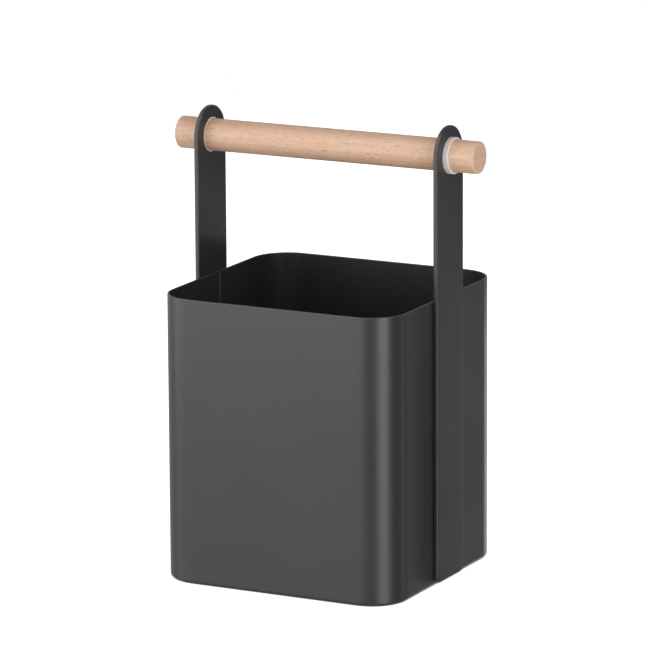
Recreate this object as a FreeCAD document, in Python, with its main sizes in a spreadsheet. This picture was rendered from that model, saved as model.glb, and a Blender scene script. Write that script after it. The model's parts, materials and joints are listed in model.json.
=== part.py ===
"""Cutlery caddy: a coated steel box, two flat straps, and a round wooden bar held in soft rings.

Millimetres. X runs along the bar, -Y is the front, +Z is up. The origin is on the table, under the middle.
"""
import os
from math import radians

import FreeCAD
import Part
import Sketcher
from FreeCAD import Placement, Rotation, Vector

# Driving dimensions: name, value, what it is.
SIZES = (
    ("body_width", 112, "outside width of the box, along the bar"),
    ("body_depth", 108, "outside depth of the box, front to back"),
    ("body_height", 125, "height of the box, underside to rim"),
    ("corner_radius", 16.5, "outside radius of the four upright corners"),
    ("wall_sheet", 0.9, "thickness of the wrapped wall sheet"),
    ("base_bend", 2.0, "outside radius where the wall turns under"),
    ("base_flange", 7.0, "width of the turned-in flange, from the outside"),
    ("base_sheet", 1.0, "thickness of the base plate"),
    ("base_gap", 0.1, "gap between the base plate and the inside bend"),
    ("rim_round", 0.3, "rounding of the two rim edges"),
    ("strap_width", 25.5, "width of each strap"),
    ("strap_sheet", 2.2, "thickness of each strap"),
    ("strap_foot", 1.6, "height of a strap's lower end above the underside"),
    ("strap_corner", 3, "radius of a strap's lower corners"),
    ("strap_round", 0.7, "rounding of the long edges of a strap"),
    ("grip_height", 61, "height of the bar's axis above the rim"),
    ("bar_diameter", 14, "diameter of the wooden bar"),
    ("bar_overhang", 13.2, "how far the bar stands out past each strap, when centred"),
    ("bar_shift", 0.6, "how far the bar sits to the right of the middle"),
    ("bar_round", 0.8, "rounding of the bar's ends"),
    ("ring_gap", 0.05, "running gap between bar and ring, on the radius"),
    ("ring_wall", 0.5, "wall of a ring where it passes through its strap"),
    ("ring_lip", 0.3, "how far a ring's head stands out over its hole"),
    ("ring_head", 2.5, "width of a ring's head, outside the strap"),
    ("ring_round", 0.5, "rounding of a ring's head"),
    ("seam_offset", 4, "distance of the welded seam behind the middle"),
    ("seam_width", 2.2, "width of the weld bead"),
    ("seam_rise", 0.35, "height of the weld bead above the sheet"),
    ("seam_stop", 0.6, "distance from the rim to the end of the bead"),
    ("spot_diameter", 5, "diameter of the spot-weld marks behind a strap"),
    ("spot_depth", 0.15, "depth of the spot-weld marks"),
    ("spot_inset", 26, "height of the first mark, and distance of the last from the rim"),
)
SPOT_COUNT = 3
TOUCH = 1e-4  # how near two heights have to be to count as one, in mm

# Sizes that follow from the driving ones, as expressions on the sheet.
FLOOR_LOW = "Sizes.wall_sheet"
FLOOR_TOP = "Sizes.wall_sheet + Sizes.base_sheet"
INNER_WIDTH = "Sizes.body_width - 2 * Sizes.wall_sheet"
INNER_DEPTH = "Sizes.body_depth - 2 * Sizes.wall_sheet"
INNER_RADIUS = "Sizes.corner_radius - Sizes.wall_sheet"
INNER_BEND = "Sizes.base_bend - Sizes.wall_sheet"
PLATE_MARGIN = "(Sizes.base_bend + Sizes.base_gap)"
BAR_HEIGHT = "Sizes.body_height + Sizes.grip_height"
BAR_LENGTH = "Sizes.body_width + 2 * Sizes.strap_sheet + 2 * Sizes.bar_overhang"
BORE_RADIUS = "Sizes.bar_diameter / 2 + Sizes.ring_gap"
HOLE_RADIUS = f"{BORE_RADIUS} + Sizes.ring_wall"
HALF_TURN = Rotation(Vector(0, 0, 1), 180)

doc = FreeCAD.newDocument("cutlery_caddy")
sizes = doc.addObject("Spreadsheet::Sheet", "Sizes")
for row, (name, value, note) in enumerate(SIZES, 1):
    sizes.set(f"A{row}", name)
    sizes.set(f"B{row}", str(value))
    sizes.setAlias(f"B{row}", name)
    sizes.set(f"C{row}", note)
doc.recompute()


def size_of(expression):
    """The present value of an expression on the sheet."""
    return float(sizes.evalExpression(expression))


# ---------------------------------------------------------------- helpers
def new_body(label):
    """An empty body whose label names the sub-part."""
    body = doc.addObject("PartDesign::Body", label)
    body.Label = label
    return body


def new_sketch(body, name, plane, offset="0"):
    """A sketch on one of the body's origin planes, moved along the plane's normal by an expression."""
    sketch = body.newObject("Sketcher::SketchObject", name)
    support = next(f for f in body.Origin.OriginFeatures if f.Role == plane)
    sketch.AttachmentSupport = [(support, "")]
    sketch.MapMode = "FlatFace"
    sketch.setExpression(".AttachmentOffset.Base.z", offset)
    return sketch


def bind(sketch, kind, *where, to):
    """Adds a dimension to a sketch and ties it to an expression."""
    index = sketch.addConstraint(Sketcher.Constraint(kind, *where, size_of(to)))
    sketch.setExpression(f"Constraints[{index}]", to)


def smooth_joins(sketch, count):
    """Joins each element's end to the next one's start, tangentially, all the way round."""
    for i in range(count):
        sketch.addConstraint(Sketcher.Constraint("Tangent", i, 2, (i + 1) % count, 1))


def arc(x, y, radius, start, end):
    """A circular arc, its angles in degrees."""
    circle = Part.Circle(Vector(x, y), Vector(0, 0, 1), radius)
    return Part.ArcOfCircle(circle, radians(start), radians(end))


def line(x0, y0, x1, y1):
    """A straight sketch line."""
    return Part.LineSegment(Vector(x0, y0), Vector(x1, y1))


def rounded_rectangle(sketch, width, depth, radius):
    """A centred rectangle with round corners, its three sizes given as expressions."""
    x, y, r = size_of(width) / 2, size_of(depth) / 2, size_of(radius)
    sketch.addGeometry([
        line(x, r - y, x, y - r),
        arc(x - r, y - r, r, 0, 90),
        line(x - r, y, r - x, y),
        arc(r - x, y - r, r, 90, 180),
        line(-x, y - r, -x, r - y),
        arc(r - x, r - y, r, 180, 270),
        line(r - x, -y, x - r, -y),
        arc(x - r, r - y, r, 270, 360),
    ])
    smooth_joins(sketch, 8)
    for upright in (0, 4):
        sketch.addConstraint(Sketcher.Constraint("Vertical", upright))
    for level in (2, 6):
        sketch.addConstraint(Sketcher.Constraint("Horizontal", level))
    for corner in (3, 5, 7):
        sketch.addConstraint(Sketcher.Constraint("Equal", 1, corner))
    sketch.addConstraint(Sketcher.Constraint("Symmetric", 1, 3, 5, 3, -1, 1))
    bind(sketch, "Radius", 1, to=radius)
    bind(sketch, "DistanceX", 4, 1, 0, 1, to=width)
    bind(sketch, "DistanceY", 6, 1, 2, 1, to=depth)


def centred_circle(sketch, radius, height=None):
    """A circle at the sketch's origin, or above it by an expression."""
    rise = size_of(height) if height else 0
    ring = sketch.addGeometry(Part.Circle(Vector(0, rise), Vector(0, 0, 1), size_of(radius)))
    if height:
        sketch.addConstraint(Sketcher.Constraint("PointOnObject", ring, 3, -2))
        bind(sketch, "DistanceY", -1, 1, ring, 3, to=height)
    else:
        sketch.addConstraint(Sketcher.Constraint("Coincident", ring, 3, -1, 1))
    bind(sketch, "Radius", ring, to=radius)


def pad(body, sketch, length, centred=False):
    """Pads a sketch by an expression, along its normal or half each way."""
    feature = body.newObject("PartDesign::Pad", f"{body.Name}_pad")
    feature.Profile = sketch
    feature.Midplane = centred
    feature.setExpression("Length", length)
    doc.recompute()
    return feature


def pocket(body, sketch, depth=None, forward=False, both=False):
    """Cuts a sketch out of its body, by an expression or through all, and checks that it cut."""
    before = body.Shape.Volume
    feature = body.newObject("PartDesign::Pocket", f"{body.Name}_pocket")
    feature.Profile = sketch
    feature.Reversed = forward
    feature.Midplane = both
    if depth is None:
        feature.Type = "ThroughAll"
    else:
        feature.setExpression("Length", depth)
    doc.recompute()
    if body.Shape.Volume >= before:
        raise RuntimeError(f"{feature.Name} cut nothing")
    return feature


def fillet(body, base, radius, wanted):
    """Rounds those edges of a feature that a test picks, by an expression."""
    names = [f"Edge{i}" for i, edge in enumerate(base.Shape.Edges, 1) if wanted(edge)]
    feature = body.newObject("PartDesign::Fillet", f"{body.Name}_fillet")
    feature.Base = (base, names)
    feature.setExpression("Radius", radius)
    doc.recompute()
    return feature


def level_at(height):
    """A test for edges that lie flat at a height."""
    def test(edge):
        box = edge.BoundBox
        return abs(box.ZMin - height) < TOUCH and abs(box.ZMax - height) < TOUCH
    return test


def upright_at(place):
    """A test for edges that lie in the plane where X is a value."""
    def test(edge):
        box = edge.BoundBox
        return abs(box.XMin - place) < TOUCH and abs(box.XMax - place) < TOUCH
    return test


# ---------------------------------------------------------------- the box
def make_body_shell():
    """The wrapped wall: a sleeve with round corners that turns under into a flange."""
    body = new_body("body_shell")
    outline = new_sketch(body, "shell_outline", "XY_Plane")
    rounded_rectangle(outline, "Sizes.body_width", "Sizes.body_depth", "Sizes.corner_radius")
    block = pad(body, outline, "Sizes.body_height")
    fillet(body, block, "Sizes.base_bend", level_at(0))

    inside = new_sketch(body, "shell_inside", "XY_Plane", FLOOR_LOW)
    rounded_rectangle(inside, INNER_WIDTH, INNER_DEPTH, INNER_RADIUS)
    hollow = pocket(body, inside, forward=True)
    fillet(body, hollow, INNER_BEND, level_at(size_of(FLOOR_LOW)))

    opening = new_sketch(body, "flange_opening", "XY_Plane")
    rounded_rectangle(
        opening,
        "Sizes.body_width - 2 * Sizes.base_flange",
        "Sizes.body_depth - 2 * Sizes.base_flange",
        "Sizes.corner_radius - Sizes.base_flange",
    )
    opened = pocket(body, opening, forward=True)
    rim = level_at(size_of("Sizes.body_height"))
    fillet(body, opened, "min(Sizes.rim_round; 0.4 * Sizes.wall_sheet)", rim)

    marks = new_sketch(body, "spot_marks", "YZ_Plane", "Sizes.body_width / 2 - Sizes.wall_sheet")
    for i in range(SPOT_COUNT):
        step = f"(Sizes.body_height - 2 * Sizes.spot_inset) * {i} / {SPOT_COUNT - 1}"
        centred_circle(marks, "Sizes.spot_diameter / 2", f"Sizes.spot_inset + {step}")
    dents = pocket(body, marks, "Sizes.spot_depth", forward=True)
    mirror = body.newObject("PartDesign::Mirrored", "spot_marks_left")
    mirror.Originals = [dents]
    plane = next(f for f in body.Origin.OriginFeatures if f.Role == "YZ_Plane")
    mirror.MirrorPlane = (plane, [""])
    body.Tip = mirror
    return body


def make_base_plate():
    """The flat floor, resting on the wall's flange."""
    body = new_body("base_plate")
    outline = new_sketch(body, "plate_outline", "XY_Plane", FLOOR_LOW)
    rounded_rectangle(
        outline,
        f"Sizes.body_width - 2 * {PLATE_MARGIN}",
        f"Sizes.body_depth - 2 * {PLATE_MARGIN}",
        f"Sizes.corner_radius - {PLATE_MARGIN}",
    )
    pad(body, outline, "Sizes.base_sheet")
    return body


def make_seam_weld():
    """The weld bead that closes the wrapped wall, inside the left side and behind the strap."""
    body = new_body("seam_weld")
    profile = new_sketch(body, "bead_profile", "XY_Plane", FLOOR_TOP)
    half, rise = size_of("Sizes.seam_width") / 2, size_of("Sizes.seam_rise")
    face, middle = -size_of(INNER_WIDTH) / 2, size_of("Sizes.seam_offset")
    crown = Part.Arc(
        Vector(face, middle - half), Vector(face + rise, middle), Vector(face, middle + half)
    )
    profile.addGeometry([crown, line(face, middle + half, face, middle - half)])
    for end in (1, 2):
        profile.addConstraint(Sketcher.Constraint("Coincident", 0, end, 1, 3 - end))
    profile.addConstraint(Sketcher.Constraint("Vertical", 1))
    bind(profile, "DistanceY", 0, 1, 0, 2, to="Sizes.seam_width")
    bind(profile, "DistanceX", 0, 1, -1, 1, to=f"({INNER_WIDTH}) / 2")
    bind(profile, "DistanceY", -1, 1, 0, 3, to="Sizes.seam_offset")
    bind(profile, "Radius", 0,
         to="(Sizes.seam_width ^ 2 / 4 + Sizes.seam_rise ^ 2) / (2 * Sizes.seam_rise)")
    pad(body, profile, f"Sizes.body_height - Sizes.seam_stop - ({FLOOR_TOP})")
    return body


# ---------------------------------------------------------------- the handle
def make_strap(label, turn):
    """A flat strap with a round top and a hole for the bar, made on the right and turned to its side."""
    body = new_body(label)
    outline = new_sketch(body, f"{label}_outline", "YZ_Plane", "Sizes.body_width / 2")
    half, top = size_of("Sizes.strap_width") / 2, size_of(BAR_HEIGHT)
    low, r = size_of("Sizes.strap_foot"), size_of("Sizes.strap_corner")
    outline.addGeometry([
        line(r - half, low, half - r, low),
        arc(half - r, low + r, r, 270, 360),
        line(half, low + r, half, top),
        arc(0, top, half, 0, 180),
        line(-half, top, -half, low + r),
        arc(r - half, low + r, r, 180, 270),
    ])
    smooth_joins(outline, 6)
    outline.addConstraint(Sketcher.Constraint("Horizontal", 0))
    for edge in (2, 4):
        outline.addConstraint(Sketcher.Constraint("Vertical", edge))
    outline.addConstraint(Sketcher.Constraint("Equal", 1, 5))
    outline.addConstraint(Sketcher.Constraint("PointOnObject", 3, 3, -2))
    bind(outline, "Radius", 3, to="Sizes.strap_width / 2")
    bind(outline, "Radius", 1, to="Sizes.strap_corner")
    bind(outline, "DistanceY", -1, 1, 3, 3, to=BAR_HEIGHT)
    bind(outline, "DistanceY", -1, 1, 0, 1, to="Sizes.strap_foot")
    blank = pad(body, outline, "Sizes.strap_sheet")

    faces = [size_of(f"Sizes.body_width / 2 + {out}") for out in ("0", "Sizes.strap_sheet")]
    rounded = fillet(
        body, blank, "min(Sizes.strap_round; 0.4 * Sizes.strap_sheet)",
        lambda edge: any(upright_at(face)(edge) for face in faces),
    )
    hole = new_sketch(body, f"{label}_hole", "YZ_Plane", "Sizes.body_width / 2")
    centred_circle(hole, HOLE_RADIUS, BAR_HEIGHT)
    body.Tip = rounded
    pocket(body, hole, both=True)
    body.Placement = Placement(Vector(), turn)
    return body


def make_ring(label, turn):
    """A soft ring: a neck that fills the strap's hole and a head outside it. The bar turns in its bore."""
    body = new_body(label)
    profile = new_sketch(body, f"{label}_profile", "XZ_Plane")
    profile.setExpression(".AttachmentOffset.Base.y", BAR_HEIGHT)
    inner = "Sizes.body_width / 2"
    shoulder = f"{inner} + Sizes.strap_sheet"
    outer = f"{shoulder} + Sizes.ring_head"
    head_radius = f"{HOLE_RADIUS} + Sizes.ring_lip"
    x0, x1, x2 = (size_of(x) for x in (inner, shoulder, outer))
    bore, neck, head = (size_of(r) for r in (BORE_RADIUS, HOLE_RADIUS, head_radius))
    corners = [(x0, bore), (x2, bore), (x2, head), (x1, head), (x1, neck), (x0, neck)]
    count = len(corners)
    for i, (x, y) in enumerate(corners):
        profile.addGeometry(line(x, y, *corners[(i + 1) % count]))
    for i in range(count):
        profile.addConstraint(Sketcher.Constraint("Coincident", i, 2, (i + 1) % count, 1))
        way = "Vertical" if i % 2 else "Horizontal"
        profile.addConstraint(Sketcher.Constraint(way, i))
    for corner, x in ((0, inner), (1, outer), (3, shoulder)):
        bind(profile, "DistanceX", -1, 1, corner, 1, to=x)
    for corner, y in ((0, BORE_RADIUS), (2, head_radius), (4, HOLE_RADIUS)):
        bind(profile, "DistanceY", -1, 1, corner, 1, to=y)
    turned = body.newObject("PartDesign::Revolution", f"{label}_turned")
    turned.Profile = profile
    turned.ReferenceAxis = (profile, ["H_Axis"])
    turned.Angle = 360
    doc.recompute()

    def head_edge(edge):
        box = edge.BoundBox
        on_end = upright_at(size_of(outer))(edge)
        return on_end and box.ZLength > 2 * size_of(HOLE_RADIUS)

    limit = "min(Sizes.ring_round; 0.4 * (Sizes.ring_wall + Sizes.ring_lip); 0.4 * Sizes.ring_head)"
    fillet(body, turned, limit, head_edge)
    body.Placement = Placement(Vector(), turn)
    return body


def make_handle_bar():
    """The round wooden bar, with softened ends."""
    body = new_body("handle_bar")
    section = new_sketch(body, "bar_section", "YZ_Plane")
    centred_circle(section, "Sizes.bar_diameter / 2", BAR_HEIGHT)
    rod = pad(body, section, BAR_LENGTH, centred=True)
    end = size_of(BAR_LENGTH) / 2
    fillet(body, rod, "Sizes.bar_round", lambda e: upright_at(end)(e) or upright_at(-end)(e))
    body.setExpression(".Placement.Base.x", "Sizes.bar_shift")
    return body


# ---------------------------------------------------------------- build, check and write
parts = [make_body_shell(), make_base_plate(), make_seam_weld(), make_handle_bar()]
for hand, turn in (("right", Rotation()), ("left", HALF_TURN)):
    parts.append(make_strap(f"{hand}_strap", turn))
    parts.append(make_ring(f"{hand}_ring", turn))
doc.recompute()

for item in doc.Objects:
    if {"Invalid", "Error"} & set(item.State):
        raise RuntimeError(f"{item.Label} failed: {item.State}")
for item in parts:
    if item.Shape.isNull() or not item.Shape.isValid() or not item.Shape.Solids:
        raise RuntimeError(f"{item.Label} has no valid solid")

os.makedirs("parts", exist_ok=True)
for item in parts:
    item.Shape.exportStep(f"parts/{item.Label}.step")
    print(f"{item.Label}: {len(item.Shape.Solids)} solid, {item.Shape.Volume:.1f} mm3")
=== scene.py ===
"""Finish and studio for a cutlery caddy: a coated steel box with two straps and a wooden bar.

Metres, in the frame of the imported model: X runs along the bar, -Y is the front, +Z is up.
"""

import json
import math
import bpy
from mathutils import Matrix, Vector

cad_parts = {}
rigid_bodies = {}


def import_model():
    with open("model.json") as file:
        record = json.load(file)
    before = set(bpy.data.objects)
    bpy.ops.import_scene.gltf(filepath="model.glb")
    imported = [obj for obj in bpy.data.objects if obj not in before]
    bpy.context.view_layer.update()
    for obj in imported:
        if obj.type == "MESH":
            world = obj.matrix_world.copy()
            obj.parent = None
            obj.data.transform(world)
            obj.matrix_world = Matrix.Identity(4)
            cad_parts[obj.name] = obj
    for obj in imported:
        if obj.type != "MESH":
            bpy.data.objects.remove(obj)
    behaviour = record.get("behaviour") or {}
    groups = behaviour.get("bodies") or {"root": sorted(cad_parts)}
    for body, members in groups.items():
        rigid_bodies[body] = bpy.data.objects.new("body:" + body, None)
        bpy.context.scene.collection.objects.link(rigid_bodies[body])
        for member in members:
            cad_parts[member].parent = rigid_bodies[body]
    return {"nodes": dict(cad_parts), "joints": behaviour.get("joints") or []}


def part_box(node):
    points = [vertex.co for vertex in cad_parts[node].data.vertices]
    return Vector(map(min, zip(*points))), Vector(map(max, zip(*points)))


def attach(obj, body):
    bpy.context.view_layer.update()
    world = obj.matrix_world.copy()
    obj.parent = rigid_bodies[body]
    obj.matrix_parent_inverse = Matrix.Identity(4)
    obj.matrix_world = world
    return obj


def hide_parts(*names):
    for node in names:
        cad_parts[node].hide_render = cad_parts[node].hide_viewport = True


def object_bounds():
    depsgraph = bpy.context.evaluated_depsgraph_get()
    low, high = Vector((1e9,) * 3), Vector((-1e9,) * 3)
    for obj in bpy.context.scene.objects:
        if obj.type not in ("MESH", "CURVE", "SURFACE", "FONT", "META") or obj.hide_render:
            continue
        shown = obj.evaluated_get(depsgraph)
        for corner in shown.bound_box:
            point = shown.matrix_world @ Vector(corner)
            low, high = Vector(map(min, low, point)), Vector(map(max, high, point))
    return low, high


bl_info = {
    "name": "Cutlery caddy finish",
    "version": (1, 0, 0),
    "blender": (4, 5, 0),
    "location": "3D View > Sidebar > Caddy",
    "description": "Coats the steel, grains the bar, lays the weld bead and sets the studio",
    "category": "Object",
}

import bpy
from bpy.props import FloatProperty, FloatVectorProperty, IntProperty, PointerProperty
from bpy.types import Operator, Panel, PropertyGroup
from mathutils import Matrix, Vector

for leftover in list(bpy.data.objects):
    bpy.data.objects.remove(leftover)
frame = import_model()
CAD_LOW, CAD_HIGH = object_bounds()

CADDY = "caddy"
MM = 0.001


# ---------------------------------------------------------------- sizes and colours a user would change
class CoatLook(PropertyGroup):
    """The powder coat on the steel."""

    colour: FloatVectorProperty(
        name="Colour", description="Colour of the coat", subtype="COLOR", size=3,
        default=(0.0175, 0.0175, 0.0178), min=0, max=1)
    roughness: FloatProperty(
        name="Roughness", description="How dull the coat is", subtype="FACTOR", default=0.33, min=0, max=1)
    peel: FloatProperty(
        name="Peel", description="Width of the slow waves left as the coat melts", unit="LENGTH",
        default=1.6 * MM, min=0.1 * MM)
    grain: FloatProperty(
        name="Grain", description="Width of the fine grain of the powder", unit="LENGTH",
        default=0.28 * MM, min=0.05 * MM)
    relief: FloatProperty(
        name="Relief", description="Height of the coat's texture", unit="LENGTH",
        default=0.030 * MM, min=0, precision=6)


class WoodLook(PropertyGroup):
    """The beech of the bar."""

    early: FloatVectorProperty(
        name="Early wood", description="Pale wood between the ring lines", subtype="COLOR", size=3,
        default=(0.615, 0.412, 0.300), min=0, max=1)
    late: FloatVectorProperty(
        name="Late wood", description="Darker wood at each ring line", subtype="COLOR", size=3,
        default=(0.510, 0.287, 0.172), min=0, max=1)
    fleck: FloatVectorProperty(
        name="Fleck", description="Short dark flecks along the grain", subtype="COLOR", size=3,
        default=(0.26, 0.138, 0.078), min=0, max=1)
    warm: FloatVectorProperty(
        name="Warm wood", description="Yellower patches of the figure", subtype="COLOR", size=3,
        default=(0.555, 0.330, 0.190), min=0, max=1)
    pink: FloatVectorProperty(
        name="Pink wood", description="Paler, pinker patches of the figure", subtype="COLOR", size=3,
        default=(0.67, 0.470, 0.375), min=0, max=1)
    end: FloatVectorProperty(
        name="End grain", description="Wood at the bar's ends", subtype="COLOR", size=3,
        default=(0.512, 0.344, 0.252), min=0, max=1)
    ray: FloatVectorProperty(
        name="Rays", description="Darker lines across the end grain", subtype="COLOR", size=3,
        default=(0.418, 0.268, 0.188), min=0, max=1)
    ray_turn: FloatProperty(
        name="Ray turn", description="How far the rays lean", subtype="ANGLE", default=math.radians(20))
    run_out: FloatProperty(
        name="Run-out", description="How far the grain leans from the bar's axis", subtype="ANGLE",
        default=math.radians(2.5))
    contrast: FloatProperty(
        name="Contrast", description="How strongly the growth rings show", subtype="FACTOR",
        default=0.62, min=0, max=1)
    ring_pitch: FloatProperty(
        name="Ring pitch", description="Distance between growth rings", unit="LENGTH",
        default=2.3 * MM, min=0.2 * MM)
    heart: FloatVectorProperty(
        name="Heart", description="Where the middle of the tree lay, from the bar's axis",
        subtype="TRANSLATION", unit="LENGTH", size=2, default=(26 * MM, -34 * MM))
    relief: FloatProperty(
        name="Relief", description="Depth of the open grain", unit="LENGTH",
        default=0.02 * MM, min=0, precision=6)


class RingLook(PropertyGroup):
    """The soft rings in the strap holes."""

    colour: FloatVectorProperty(
        name="Colour", description="Colour of the milky plastic", subtype="COLOR", size=3,
        default=(0.66, 0.605, 0.585), min=0, max=1)
    roughness: FloatProperty(
        name="Roughness", description="How dull the plastic is", subtype="FACTOR", default=0.38, min=0, max=1)
    depth: FloatProperty(
        name="Depth", description="How far light spreads inside the plastic", unit="LENGTH",
        default=1.2 * MM, min=0)


class BeadLook(PropertyGroup):
    """The weld bead inside the left wall."""

    ripple: FloatProperty(
        name="Ripple", description="Distance between the ripples of the bead", unit="LENGTH",
        default=1.3 * MM, min=0.4 * MM)
    waist: FloatProperty(
        name="Waist", description="Width between two ripples, as a share of the full width",
        subtype="FACTOR", default=0.86, min=0.5, max=1)
    # Painted highlight: the bead's coat colour is lightened by this factor so that the bead reads as catching
    # light.
    painted_highlight: FloatProperty(
        name="Paler", description="How much paler the coat lies on the bead", default=2.2, min=1)
    sides: IntProperty(
        name="Sides", description="Number of sides of the full oval", default=28, min=8)


class StudioLook(PropertyGroup):
    """The floor, the lamps and the camera."""

    floor: FloatVectorProperty(
        name="Floor", description="Colour of the floor", subtype="COLOR", size=3,
        default=(0.92, 0.92, 0.92), min=0, max=1)
    floor_radius: FloatProperty(
        name="Floor radius", description="How far the floor reaches", unit="LENGTH", default=1.1)
    lift: FloatProperty(
        name="Lift", description="Light that the floor adds of its own, so that it looks white",
        default=0.76, min=0)
    bounce: FloatProperty(
        name="Bounce", description="Share of the floor's added light that falls on the object",
        subtype="FACTOR", default=0.3, min=0, max=1)
    fill: FloatProperty(
        name="Fill", description="Level of the light from all round", default=0.52, min=0)
    azimuth: FloatProperty(
        name="Azimuth", description="Turn of the camera to the right of the front", subtype="ANGLE",
        default=math.radians(27.184))
    elevation: FloatProperty(
        name="Elevation", description="Height of the camera above level", subtype="ANGLE",
        default=math.radians(12.619))
    roll: FloatProperty(
        name="Roll", description="Tilt of the camera", subtype="ANGLE", default=math.radians(-0.339))
    distance: FloatProperty(
        name="Distance", description="Camera to the point it looks at", unit="LENGTH", default=2.164)
    lens: FloatProperty(
        name="Lens", description="Focal length in millimetres", default=280.86)
    target: FloatVectorProperty(
        name="Target", description="The point the camera looks at", subtype="TRANSLATION", unit="LENGTH",
        size=3, default=(-2.333 * MM, -1.189 * MM, 108.14 * MM))


# Softboxes: name, azimuth and elevation in degrees, distance, width and height in metres, power in watts.
# The surround stands for the reflection of the first two, so reflections don't see them twice.
SOFTBOXES = (
    ("key", -16, 4, 1.50, 1.20, 1.00, 9.0),
    ("side", 64, 16, 1.50, 0.70, 1.20, 10.5),
    ("top", 0, 76, 1.40, 0.90, 0.70, 0.5),
    ("back", 165, 24, 1.60, 1.20, 1.00, 1.5),
)
UNREFLECTED = ("key", "side")
# The studio's walls as reflections see them: name, azimuth in degrees where it starts, level below the
# table's height and level above it. They stand round the box's front right corner. The levels from flag_side on
# were worked out by a fit outside this script and rounded. The others were set by trial.
SURROUND = (
    ("backdrop_left", -180, 0.10, 0.45),
    ("left", -140, 0.50, 0.65),
    ("key", -80, 1.27, 3.00),
    ("front", 5, 0.45, 0.60),
    ("strip", 45, 3.20, 4.50),
    ("flag_right", 75, 0.14, 0.20),
    ("flag_side", 95, 0.00, 0.20),
    ("side_edge", 105, 0.12, 0.20),
    ("right_edge", 115, 0.21, 0.40),
    ("right", 125, 0.95, 0.40),
    ("rear", 135, 0.03, 0.32),
    ("flag_back", 155, 0.00, 0.00),
    ("back_soft", 165, 0.72, 0.00),
    ("back_strip", 170, 4.05, 0.00),
    ("backdrop", 175, 1.23, 0.00),
)
# Under this height the surround is plain and dim, so that the walls stay dark when seen from above.
SURROUND_SKIRT = -0.4
SKIRT_LEVEL = 0.5
SURROUND_MIDDLE = (0.0395, -0.0375)
SURROUND_RADIUS = 0.6
SURROUND_DEPTH = 8.0


# ---------------------------------------------------------------- what the materials are mixed from
# The range that most of a noise lies in.
NOISE_MIDDLE = (0.3, 0.7)

# The coat: how much of its height the waves and the grain make, which range of the grain counts as a speck,
# how pale a dark cloud, a light cloud and a speck are, and how far the roughness swings between clouds.
PEEL_SHARE = 0.75
GRAIN_SHARE = 0.25
SPECK_RANGE = (0.62, 0.72)
CLOUD_SHADES = (0.96, 1.05)
SPECK_SHADE = 1.35
CLOUD_DULLING = (-0.02, 0.03)
# How wide the coat's clouds are on each piece, and how much rougher the coat lies on the weld bead.
BOX_CLOUDS = 42 * MM
STRAP_CLOUDS = 24 * MM
BEAD_CLOUDS = 9 * MM
BEAD_RELIEF = 1.6

# The wood's patterns: name, number a metre along the bar, front to back and upwards, detail and roughness.
WOOD_PATTERNS = (
    ("fibres", (110, 2100, 2100), 4.0, 0.6),
    ("figure", (330, 1100, 1100), 3.0, 0.7),
    ("drift", (60, 260, 260), 2.0, 0.5),
    ("flecks", (420, 3000, 1900), 1.0, 0.5),
)
# What is laid over the growth rings in turn: pattern, where it starts and is full, its strength and colour.
WOOD_TONES = (
    ("fibres", 0.35, 0.70, 0.30, "late"),
    ("figure", 0.50, 0.64, 0.42, "warm"),
    ("figure", 0.50, 0.36, 0.45, "pink"),
    ("drift", 0.40, 0.65, 0.35, "warm"),
)
# The wave texture has one ring every tau / 20 of its own units, and turns about X.
WAVE_RING = math.tau / 20
LOG_STRETCH = (0.25, 1, 1)
RING_RANGE = (0.35, 1.0)
FLECK_RANGE = (0.58, 0.72)
FLECK_STRENGTH = 0.46
# Depth of a fleck's pore, as a share of the fibres' height.
PORE_DEPTH = 0.6
# The end grain: its rays, how strongly the growth rings show in it, and how squarely a face has to look along
# the bar to count as an end.
RAY_PATTERN = ((1, 1900, 420), 2.0, 0.6)
RAY_RANGE = (0.35, 0.68)
END_RING_SHARE = 0.25
END_RANGE = (0.72, 0.97)
# Oiled wood, duller at the ends.
SIDE_ROUGHNESS = 0.45
END_ROUGHNESS = 0.72
WOOD_SPECULAR = 0.7

# The rings' plastic: its clouds and moulding marks a metre, its colour in a dark and a light cloud, how much
# duller and how high a mark is, and how much of the light goes in and how far each colour of it spreads.
PLASTIC_CLOUDS = 700
PLASTIC_MARKS = ((9000, 900, 900), 1.0, 0.5)
PLASTIC_SHADES = (0.94, 1.04)
MARK_DULLING = 0.1
MARK_RELIEF = 0.008 * MM
PLASTIC_INSIDE = 0.35
PLASTIC_SPREAD = (1.0, 0.95, 0.9)


# ---------------------------------------------------------------- materials
def add_node(tree, kind, **settings):
    """A node with its settings."""
    made = tree.nodes.new(kind)
    for name, value in settings.items():
        setattr(made, name, value)
    return made


def fill_in(made, **values):
    """Sets a node's inputs by name, an underscore standing for a space."""
    for name, value in values.items():
        made.inputs[name.replace("_", " ")].default_value = value
    return made


def noise(tree, coordinates, scale, detail=2.0, roughness=0.5):
    """A noise texture's plain value."""
    made = fill_in(add_node(tree, "ShaderNodeTexNoise"), Scale=scale, Detail=detail, Roughness=roughness)
    tree.links.new(coordinates, made.inputs["Vector"])
    return made.outputs["Fac"]


def calculate(tree, operation, *terms):
    """What a Math node makes of sockets and numbers."""
    made = add_node(tree, "ShaderNodeMath", operation=operation)
    for i, term in enumerate(terms):
        if isinstance(term, bpy.types.NodeSocket):
            tree.links.new(term, made.inputs[i])
        else:
            made.inputs[i].default_value = term
    return made.outputs["Value"]


def spread(tree, value, low, high, to_low=0.0, to_high=1.0):
    """Stretches a range of values onto another, clamped."""
    made = add_node(tree, "ShaderNodeMapRange")
    tree.links.new(value, made.inputs["Value"])
    for i, limit in enumerate((low, high, to_low, to_high), 1):
        made.inputs[i].default_value = limit
    return made.outputs["Result"]


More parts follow.
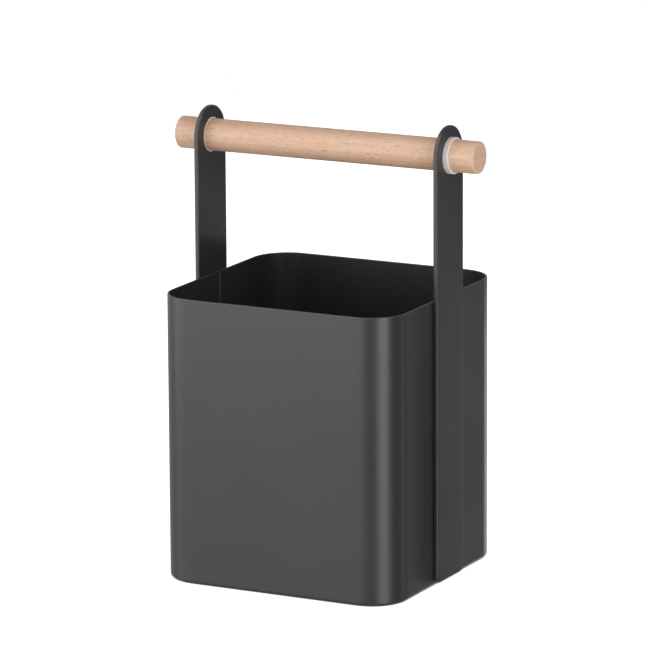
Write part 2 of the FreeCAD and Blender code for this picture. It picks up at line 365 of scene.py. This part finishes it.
def blend_colours(tree, factor, first, second):
    """A colour between two, either of them a socket or a colour."""
    made = add_node(tree, "ShaderNodeMix", data_type="RGBA")
    tree.links.new(factor, made.inputs[0])
    for i, colour in ((6, first), (7, second)):
        if isinstance(colour, bpy.types.NodeSocket):
            tree.links.new(colour, made.inputs[i])
        else:
            made.inputs[i].default_value = (*colour, 1.0)
    return made.outputs[2]


def place_pattern(tree, coordinates, move=(0, 0, 0), turn=(0, 0, 0), scale=(1, 1, 1)):
    """Coordinates stretched, turned and moved, in that order."""
    made = add_node(tree, "ShaderNodeMapping")
    fill_in(made, Location=move, Rotation=turn, Scale=scale)
    tree.links.new(coordinates, made.inputs["Vector"])
    return made.outputs["Vector"]


def stretched_noise(tree, place, scale, detail, roughness, turn=(0, 0, 0)):
    """Noise of a different scale along each axis."""
    stretched = place_pattern(tree, place, turn=turn, scale=scale)
    return noise(tree, stretched, 1.0, detail=detail, roughness=roughness)


def raise_surface(tree, height, distance):
    """A bump that turns a height between 0 and 1 into a normal."""
    made = fill_in(add_node(tree, "ShaderNodeBump"), Distance=distance, Strength=1.0)
    tree.links.new(height, made.inputs["Height"])
    return made.outputs["Normal"]


def new_material(name):
    """An empty material with a Principled shader, ready for its nodes."""
    material = bpy.data.materials.new(name)
    material.use_nodes = True
    tree = material.node_tree
    return material, tree, tree.nodes["Principled BSDF"]


def dress(node, material):
    """Gives a piece one material."""
    node.data.materials.clear()
    node.data.materials.append(material)


def coat_texture():
    """The group that every coated piece shares: slow peel, fine grain and cloudy dulling."""
    name = "coat_texture"
    if name in bpy.data.node_groups:
        return bpy.data.node_groups[name]
    tree = bpy.data.node_groups.new(name, "ShaderNodeTree")
    for socket in ("Peel Scale", "Grain Scale", "Cloud Scale"):
        tree.interface.new_socket(name=socket, in_out="INPUT", socket_type="NodeSocketFloat")
    for socket in ("Height", "Cloud", "Speck"):
        tree.interface.new_socket(name=socket, in_out="OUTPUT", socket_type="NodeSocketFloat")
    given = add_node(tree, "NodeGroupInput")
    result = add_node(tree, "NodeGroupOutput")
    place = add_node(tree, "ShaderNodeTexCoord").outputs["Object"]

    peel = noise(tree, place, 1.0, detail=1.5)
    grain = noise(tree, place, 1.0, detail=3.0, roughness=0.6)
    cloud = noise(tree, place, 1.0, detail=3.0, roughness=0.55)
    for value, socket in ((peel, "Peel Scale"), (grain, "Grain Scale"), (cloud, "Cloud Scale")):
        tree.links.new(given.outputs[socket], value.node.inputs["Scale"])
    waves = calculate(tree, "MULTIPLY", peel, PEEL_SHARE)
    powder = calculate(tree, "MULTIPLY", grain, GRAIN_SHARE)
    tree.links.new(calculate(tree, "ADD", waves, powder), result.inputs["Height"])
    tree.links.new(spread(tree, cloud, *NOISE_MIDDLE), result.inputs["Cloud"])
    tree.links.new(spread(tree, grain, *SPECK_RANGE), result.inputs["Speck"])
    return tree


def coat_material(name, cloud_size, relief_share=1.0, painted_highlight=1.0):
    """Powder coat, its clouds sized for the piece that it covers."""
    look = bpy.context.scene.caddy_coat
    material, tree, shader = new_material(name)
    texture = add_node(tree, "ShaderNodeGroup")
    texture.node_tree = coat_texture()
    fill_in(texture, Peel_Scale=1 / look.peel, Grain_Scale=1 / look.grain, Cloud_Scale=1 / cloud_size)
    # A painted highlight where the factor is above 1: the coat's colour is lightened, as on the weld bead, so
    # that it reads as catching light.
    colour = Vector(look.colour) * painted_highlight
    dark, light = (colour * shade for shade in CLOUD_SHADES)
    base = blend_colours(tree, texture.outputs["Cloud"], dark, light)
    base = blend_colours(tree, texture.outputs["Speck"], base, colour * SPECK_SHADE)
    tree.links.new(base, shader.inputs["Base Color"])
    clear, dull = (look.roughness + swing for swing in CLOUD_DULLING)
    dulled = spread(tree, texture.outputs["Cloud"], 0, 1, clear, dull)
    tree.links.new(dulled, shader.inputs["Roughness"])
    normal = raise_surface(tree, texture.outputs["Height"], look.relief * relief_share)
    tree.links.new(normal, shader.inputs["Normal"])
    return material


def growth_rings(tree, place, look):
    """Growth rings about a heart outside the bar, in a log that leans so that they run out along it."""
    bar_height = frame["joints"][0]["pos_m"][2]
    heart = (0, -look.heart[0], -(bar_height + look.heart[1]))
    lean = (0, look.run_out, look.run_out)
    log = place_pattern(tree, place, move=heart, turn=lean, scale=LOG_STRETCH)
    rings = add_node(tree, "ShaderNodeTexWave", wave_type="RINGS", rings_direction="X", wave_profile="SAW")
    fill_in(rings, Scale=WAVE_RING / look.ring_pitch, Distortion=3.2, Detail=3.0)
    fill_in(rings, Detail_Scale=1.6, Detail_Roughness=0.6)
    tree.links.new(log, rings.inputs["Vector"])
    return spread(tree, rings.outputs["Fac"], *RING_RANGE)


def side_grain(tree, look, ring_line, grain, fleck):
    """The colour of the bar's side: ring lines, then fibres and figure, then flecks."""
    tone = blend_colours(tree, calculate(tree, "MULTIPLY", ring_line, look.contrast), look.early, look.late)
    for pattern, start, full, strength, colour in WOOD_TONES:
        share = spread(tree, grain[pattern], start, full, 0.0, strength)
        tone = blend_colours(tree, share, tone, getattr(look, colour))
    return blend_colours(tree, calculate(tree, "MULTIPLY", fleck, FLECK_STRENGTH), tone, look.fleck)


def end_grain(tree, look, ring_line, place):
    """The colour of the bar's ends: rays across faint growth rings."""
    ray = stretched_noise(tree, place, *RAY_PATTERN, turn=(look.ray_turn, 0, 0))
    rayed = blend_colours(tree, spread(tree, ray, *RAY_RANGE), look.end, look.ray)
    return blend_colours(tree, calculate(tree, "MULTIPLY", ring_line, END_RING_SHARE), rayed, look.late)


def wood_material():
    """Beech: growth rings, mottled figure, short flecks and rayed end grain."""
    look = bpy.context.scene.caddy_wood
    material, tree, shader = new_material("beech")
    where = add_node(tree, "ShaderNodeTexCoord")
    place = where.outputs["Object"]
    ring_line = growth_rings(tree, place, look)
    grain = {name: stretched_noise(tree, place, *pattern) for name, *pattern in WOOD_PATTERNS}
    fleck = spread(tree, grain["flecks"], *FLECK_RANGE)
    side = side_grain(tree, look, ring_line, grain, fleck)
    sawn = end_grain(tree, look, ring_line, place)

    # End grain drinks more oil, so it is duller.
    facing = add_node(tree, "ShaderNodeSeparateXYZ")
    tree.links.new(where.outputs["Normal"], facing.inputs["Vector"])
    end = spread(tree, calculate(tree, "ABSOLUTE", facing.outputs["X"]), *END_RANGE)
    tree.links.new(blend_colours(tree, end, side, sawn), shader.inputs["Base Color"])
    tree.links.new(spread(tree, end, 0, 1, SIDE_ROUGHNESS, END_ROUGHNESS), shader.inputs["Roughness"])
    fill_in(shader, Specular_IOR_Level=WOOD_SPECULAR)
    pores = calculate(tree, "MULTIPLY", fleck, PORE_DEPTH)
    height = calculate(tree, "SUBTRACT", grain["fibres"], pores)
    tree.links.new(raise_surface(tree, height, look.relief), shader.inputs["Normal"])
    return material


def ring_material():
    """Milky plastic that lets a little light through, with faint clouds and moulding marks."""
    look = bpy.context.scene.caddy_ring
    material, tree, shader = new_material("soft_ring")
    place = add_node(tree, "ShaderNodeTexCoord").outputs["Object"]
    cloud = noise(tree, place, PLASTIC_CLOUDS)
    mark = stretched_noise(tree, place, *PLASTIC_MARKS)
    dark, light = (Vector(look.colour) * shade for shade in PLASTIC_SHADES)
    base = blend_colours(tree, spread(tree, cloud, *NOISE_MIDDLE), dark, light)
    tree.links.new(base, shader.inputs["Base Color"])
    dulled = spread(tree, mark, *NOISE_MIDDLE, look.roughness, look.roughness + MARK_DULLING)
    tree.links.new(dulled, shader.inputs["Roughness"])
    tree.links.new(raise_surface(tree, mark, MARK_RELIEF), shader.inputs["Normal"])
    fill_in(shader, Subsurface_Weight=PLASTIC_INSIDE, Subsurface_Radius=PLASTIC_SPREAD)
    fill_in(shader, Subsurface_Scale=look.depth)
    return material


# ---------------------------------------------------------------- pieces
# Sharper edges than this stay sharp on the weld bead.
BEAD_SMOOTHING = math.radians(50)


class CaddyBoxOperator(Operator):
    """Coats the box and its base plate"""

    bl_idname = "caddy.coat_box"
    bl_label = "Coat the box"

    def execute(self, context):
        material = coat_material("coat_box", BOX_CLOUDS)
        for name in ("body_shell", "base_plate"):
            dress(frame["nodes"][name], material)
        return {"FINISHED"}


class CaddyStrapOperator(Operator):
    """Coats the two straps"""

    bl_idname = "caddy.coat_straps"
    bl_label = "Coat the straps"

    def execute(self, context):
        material = coat_material("coat_strap", STRAP_CLOUDS)
        for name in ("left_strap", "right_strap"):
            dress(frame["nodes"][name], material)
        return {"FINISHED"}


class CaddyRingOperator(Operator):
    """Gives the rings in the strap holes their milky plastic"""

    bl_idname = "caddy.mould_rings"
    bl_label = "Mould the rings"

    def execute(self, context):
        material = ring_material()
        for name in ("left_ring", "right_ring"):
            dress(frame["nodes"][name], material)
        return {"FINISHED"}


class CaddyBarOperator(Operator):
    """Gives the bar its beech grain"""

    bl_idname = "caddy.grain_bar"
    bl_label = "Grain the bar"

    def execute(self, context):
        dress(frame["nodes"]["handle_bar"], wood_material())
        return {"FINISHED"}


def add_oval(name, sides, centre, half_x, half_y):
    """A flat oval, its size already applied."""
    bpy.ops.mesh.primitive_circle_add(vertices=sides, radius=1, fill_type="NGON", location=centre)
    made = bpy.context.object
    made.name = made.data.name = name
    made.scale = (half_x, half_y, 1)
    bpy.ops.object.transform_apply(location=True, rotation=True, scale=True)
    return made


def raise_ripples(look, foot, rise):
    """Extrudes the selected outline upwards, narrower and wider in turn."""
    count = round(rise / look.ripple)
    step = rise / count / 2
    for i in range(2 * count):
        bpy.ops.mesh.extrude_region_move(TRANSFORM_OT_translate={"value": (0, 0, step)})
        share = look.waist if i % 2 == 0 else 1 / look.waist
        level = foot + Vector((0, 0, (i + 1) * step))
        bpy.ops.transform.resize(value=(share, share, 1), center_override=level)


class CaddySeamOperator(Operator):
    """Lays the rippled weld bead that closes the wall, inside the left side"""

    bl_idname = "caddy.lay_seam"
    bl_label = "Lay the weld bead"

    def execute(self, context):
        look = context.scene.caddy_bead
        low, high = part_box("seam_weld")
        middle = (low.y + high.y) / 2
        foot = Vector((low.x, middle, low.z))
        bpy.ops.object.select_all(action="DESELECT")
        bead = add_oval("seam_bead", look.sides, foot, high.x - low.x, (high.y - low.y) / 2)
        bpy.ops.object.mode_set(mode="EDIT")
        bpy.ops.mesh.select_all(action="SELECT")
        bpy.ops.mesh.bisect(plane_co=foot, plane_no=(1, 0, 0), clear_inner=True, use_fill=False)
        bpy.ops.mesh.select_all(action="SELECT")
        raise_ripples(look, foot, high.z - low.z)
        bpy.ops.mesh.select_all(action="SELECT")
        bpy.ops.mesh.normals_make_consistent(inside=False)
        bpy.ops.object.mode_set(mode="OBJECT")
        bpy.ops.object.shade_smooth_by_angle(angle=BEAD_SMOOTHING)
        # The bead's coat is lightened as a painted highlight.
        dress(bead, coat_material("coat_bead", BEAD_CLOUDS, BEAD_RELIEF, look.painted_highlight))
        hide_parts("seam_weld")
        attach(bead, CADDY)
        return {"FINISHED"}


# ---------------------------------------------------------------- studio
WHITE = (1, 1, 1, 1)
BLACK = (0, 0, 0, 1)
FLOOR_SIDES = 128
# The floor lies just under the object, so that the two don't meet.
FLOOR_HEIGHT = -0.1 * MM
FLOOR_ROUGHNESS = 0.9
# One side of the surround every 5 degrees, so that each panel starts at a side.
SURROUND_SIDES = 72
VIEW_DEPTH = 20


def bearing(azimuth, elevation):
    """The direction from the object towards something seen at these angles, in radians."""
    level = math.cos(elevation)
    return Vector((math.sin(azimuth) * level, -math.cos(azimuth) * level, math.sin(elevation)))


def plainly_seen(tree):
    """1 for what the camera sees itself, in a reflection or through something clear."""
    rays = add_node(tree, "ShaderNodeLightPath").outputs
    seen = calculate(tree, "MAXIMUM", rays["Is Camera Ray"], rays["Is Glossy Ray"])
    return calculate(tree, "MAXIMUM", seen, rays["Is Transmission Ray"])


def floor_material(look):
    """A pale material with light of its own, of which only a share falls on the object."""
    material, tree, shader = new_material("floor")
    fill_in(shader, Base_Color=(*look.floor, 1), Roughness=FLOOR_ROUGHNESS, Specular_IOR_Level=0)
    share = calculate(tree, "MAXIMUM", plainly_seen(tree), look.bounce)
    lift = fill_in(add_node(tree, "ShaderNodeEmission"), Color=WHITE, Strength=look.lift)
    both = add_node(tree, "ShaderNodeAddShader")
    choice = add_node(tree, "ShaderNodeMixShader")
    tree.links.new(shader.outputs["BSDF"], both.inputs[0])
    tree.links.new(lift.outputs["Emission"], both.inputs[1])
    tree.links.new(share, choice.inputs[0])
    tree.links.new(shader.outputs["BSDF"], choice.inputs[1])
    tree.links.new(both.outputs["Shader"], choice.inputs[2])
    tree.links.new(choice.outputs["Shader"], tree.nodes["Material Output"].inputs["Surface"])
    return material


def add_floor(look):
    """A pale floor that looks white where no shadow lies."""
    bpy.ops.mesh.primitive_circle_add(
        vertices=FLOOR_SIDES, radius=look.floor_radius, fill_type="NGON", location=(0, 0, FLOOR_HEIGHT))
    floor = bpy.context.object
    floor.name = "floor"
    dress(floor, floor_material(look))
    floor.visible_glossy = False


def glowing_material(name, level):
    """A plain grey glow that lights nothing."""
    material, tree, shader = new_material(name)
    fill_in(shader, Base_Color=BLACK, Emission_Color=WHITE, Emission_Strength=level)
    material.cycles.emission_sampling = "NONE"
    return material


def light_panels(drum):
    """Gives each face of the surround the level of its panel."""
    dress(drum, glowing_material("surround_skirt", SKIRT_LEVEL))
    for name, _, low, high in SURROUND:
        drum.data.materials.append(glowing_material(f"surround_{name}_low", low))
        drum.data.materials.append(glowing_material(f"surround_{name}_high", high))
    for face in drum.data.polygons:
        turn = math.degrees(math.atan2(face.center.x, -face.center.y))
        place = max(i for i, panel in enumerate(SURROUND) if turn >= panel[1])
        if face.center.z > SURROUND_SKIRT:
            face.material_index = 1 + 2 * place + (face.center.z > 0)


def add_surround():
    """The studio's walls as a drum that only reflections see: grey, with dark flags and bright strips."""
    bpy.ops.mesh.primitive_cylinder_add(
        vertices=SURROUND_SIDES, radius=SURROUND_RADIUS, depth=SURROUND_DEPTH, end_fill_type="NOTHING",
        location=(*SURROUND_MIDDLE, 0))
    drum = bpy.context.object
    drum.name = "surround"
    bpy.ops.object.mode_set(mode="EDIT")
    for height in (SURROUND_SKIRT, 0):
        bpy.ops.mesh.select_all(action="SELECT")
        bpy.ops.mesh.bisect(plane_co=(0, 0, height), plane_no=(0, 0, 1), use_fill=False)
    bpy.ops.object.mode_set(mode="OBJECT")
    light_panels(drum)
    drum.visible_camera = drum.visible_diffuse = drum.visible_shadow = False
    drum.visible_transmission = drum.visible_volume_scatter = False


def set_world(look):
    """White to the camera and to reflections, and a plain fill to everything else."""
    world = bpy.data.worlds.new("studio")
    bpy.context.scene.world = world
    world.use_nodes = True
    tree = world.node_tree
    white = fill_in(add_node(tree, "ShaderNodeBackground"), Color=WHITE, Strength=1)
    fill = fill_in(tree.nodes["Background"], Color=WHITE, Strength=look.fill)
    choice = add_node(tree, "ShaderNodeMixShader")
    tree.links.new(plainly_seen(tree), choice.inputs[0])
    tree.links.new(fill.outputs["Background"], choice.inputs[1])
    tree.links.new(white.outputs["Background"], choice.inputs[2])
    tree.links.new(choice.outputs["Shader"], tree.nodes["World Output"].inputs["Surface"])


def add_softboxes(middle):
    """The lamps, each turned to the middle of the object."""
    for name, azimuth, elevation, distance, width, height, power in SOFTBOXES:
        towards = bearing(math.radians(azimuth), math.radians(elevation))
        bpy.ops.object.light_add(type="AREA", location=middle + towards * distance)
        lamp = bpy.context.object
        lamp.name = f"softbox_{name}"
        lamp.rotation_euler = towards.to_track_quat("Z", "Y").to_euler()
        lamp.data.shape = "RECTANGLE"
        lamp.data.size = width
        lamp.data.size_y = height
        lamp.data.energy = power
        lamp.visible_glossy = name not in UNREFLECTED


def add_camera(look):
    """The camera, turned by azimuth and elevation round its target and rolled about its own axis."""
    back = bearing(look.azimuth, look.elevation)
    level = Vector((math.cos(look.azimuth), math.sin(look.azimuth), 0))
    upright = back.cross(level)
    right = level * math.cos(look.roll) + upright * math.sin(look.roll)
    up = upright * math.cos(look.roll) - level * math.sin(look.roll)
    turn = Matrix((right, up, back)).transposed().to_4x4()
    bpy.ops.object.camera_add()
    camera = bpy.context.object
    camera.name = "camera"
    camera.matrix_world = Matrix.Translation(Vector(look.target) + back * look.distance) @ turn
    camera.data.lens = look.lens
    camera.data.clip_end = VIEW_DEPTH
    bpy.context.scene.camera = camera


class CaddyStudioOperator(Operator):
    """Sets the floor, the surround, the lamps, the world and the camera"""

    bl_idname = "caddy.set_studio"
    bl_label = "Set the studio"

    def execute(self, context):
        look = context.scene.caddy_studio
        bpy.ops.object.select_all(action="DESELECT")
        add_floor(look)
        add_surround()
        set_world(look)
        add_softboxes((CAD_LOW + CAD_HIGH) / 2)
        add_camera(look)
        context.scene.view_settings.view_transform = "Standard"
        return {"FINISHED"}


# ---------------------------------------------------------------- panel and registration
LOOKS = (
    ("caddy_coat", CoatLook),
    ("caddy_wood", WoodLook),
    ("caddy_ring", RingLook),
    ("caddy_bead", BeadLook),
    ("caddy_studio", StudioLook),
)
OPERATORS = (
    CaddyBoxOperator,
    CaddyStrapOperator,
    CaddySeamOperator,
    CaddyRingOperator,
    CaddyBarOperator,
    CaddyStudioOperator,
)


class CaddyPanel(Panel):
    """Lists the looks and what can be made"""

    bl_idname = "VIEW3D_PT_caddy"
    bl_label = "Caddy"
    bl_space_type = "VIEW_3D"
    bl_region_type = "UI"
    bl_category = "Caddy"

    def draw(self, context):
        for operator in OPERATORS:
            self.layout.operator(operator.bl_idname)
        for name, look in LOOKS:
            box = self.layout.box()
            for field in look.__annotations__:
                box.prop(getattr(context.scene, name), field)


def register():
    """Adds the classes and their settings on the scene."""
    for name, look in LOOKS:
        bpy.utils.register_class(look)
        setattr(bpy.types.Scene, name, PointerProperty(type=look))
    for item in (*OPERATORS, CaddyPanel):
        bpy.utils.register_class(item)


def unregister():
    """Takes away what register added."""
    for item in (CaddyPanel, *reversed(OPERATORS)):
        bpy.utils.unregister_class(item)
    for name, look in reversed(LOOKS):
        delattr(bpy.types.Scene, name)
        bpy.utils.unregister_class(look)


def main():
    """Makes everything in order."""
    register()
    bpy.ops.caddy.coat_box()
    bpy.ops.caddy.coat_straps()
    bpy.ops.caddy.lay_seam()
    bpy.ops.caddy.mould_rings()
    bpy.ops.caddy.grain_bar()
    bpy.ops.caddy.set_studio()


if __name__ == "__main__":
    main()
